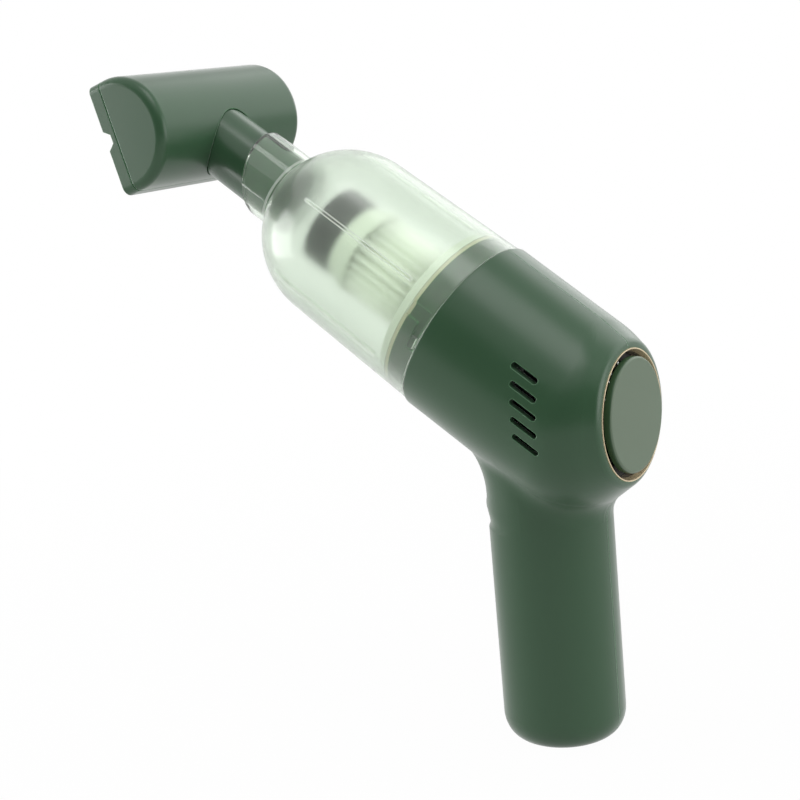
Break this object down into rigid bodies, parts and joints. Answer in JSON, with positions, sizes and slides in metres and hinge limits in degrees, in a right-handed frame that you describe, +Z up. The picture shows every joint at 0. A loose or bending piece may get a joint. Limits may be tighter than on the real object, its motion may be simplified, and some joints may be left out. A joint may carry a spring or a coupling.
{
  "type": "handheld vacuum cleaner",
  "caption": "Pistol-shaped handheld vacuum cleaner with a translucent dust cup, pleated filter, wide flat-mouthed head, side vents and a round exhaust cover, in dark green plastic",
  "frame": {"origin": "middle of the flat foot at the handle's lower end", "axes": "+Z up along the handle, -X toward the nozzle, +Y across the head; the object is symmetric about y = 0"},
  "size_m": [0.1903, 0.0808, 0.2414],
  "materials": {
    "green_satin": "fine moulded texture",
    "green_dark": "plain moulded",
    "cover_sage": "satin",
    "trim_champagne": "satin pearl",
    "cup_clear": "frosted, polished at both ends",
    "seal_beige": "soft moulded",
    "filter_grey": "plain moulded",
    "filter_light": "plain moulded",
    "filter_paper": "folded filter paper",
    "lint_pile": "short pile",
    "black_plastic": "plain moulded",
    "fan_grey": "plain moulded",
    "steel": "bright",
    "copper_winding": "enamelled wire",
    "magnet_ferrite": "dull",
    "cell_wrap": "shrink wrap over a steel can",
    "board_laminate": "solder mask"
  },
  "bodies": {
    "body": {"shell_near": "green_satin", "shell_far": "green_satin", "shell_screws": "steel", "handle_foot": "green_dark", "spigot_ring": "green_dark", "cup_seal": "seal_beige", "exhaust_trim_ring": "trim_champagne", "exhaust_grille": "black_plastic", "exhaust_cover": "cover_sage", "fan_shroud": "fan_grey", "diffuser": "fan_grey", "motor_gasket": "seal_beige", "motor_can": "steel", "motor_magnets": "magnet_ferrite", "motor_end_bell": "black_plastic", "bearing_front": "steel", "bearing_rear": "steel", "motor_screws": "steel", "cell_front": "cell_wrap", "cell_rear": "cell_wrap", "cell_tabs": "steel", "cell_holder_lower": "black_plastic", "cell_holder_upper": "black_plastic", "charge_port": "steel", "port_tongue": "black_plastic", "charge_board": "board_laminate", "control_board": "board_laminate", "control_parts": "black_plastic", "switch_board": "board_laminate", "switch_body": "black_plastic"},
    "cup": {"dust_cup": "cup_clear"},
    "head": {"head_tube": "green_satin", "head_housing": "green_satin", "mouth_frame": "green_satin", "lint_strips": "lint_pile"},
    "filter": {"filter_frame": "filter_light", "filter_pleats": "filter_paper", "filter_end_ring": "filter_light", "filter_cap": "filter_grey"},
    "rotor": {"motor_shaft": "steel", "motor_armature": "copper_winding", "impeller": "fan_grey"},
    "button": {"power_button": "green_satin"}
  },
  "joints": [
    {"name": "cup_twist", "type": "hinge", "parent": "body", "child": "cup", "pos_m": [-0.04891, 0, 0.15999], "axis": [-0.8241, 0, 0.5664], "range_deg": [0, 18]},
    {"name": "head_pull", "type": "slide", "parent": "cup", "child": "head", "axis": [-0.8241, 0, 0.5664], "range_m": [0, 0.02]},
    {"name": "filter_pull", "type": "slide", "parent": "body", "child": "filter", "axis": [-0.8241, 0, 0.5664], "range_m": [0, 0.01]},
    {"name": "rotor_spin", "type": "hinge", "parent": "body", "child": "rotor", "pos_m": [0.00053, 0, 0.12601], "axis": [-0.8241, 0, 0.5664], "continuous": true},
    {"name": "power_press", "type": "slide", "parent": "body", "child": "button", "axis": [1, 0, 0], "range_m": [0, 0.0008], "stiffness_N_per_m": 1200, "springref_m": -0.0006}
  ]
}
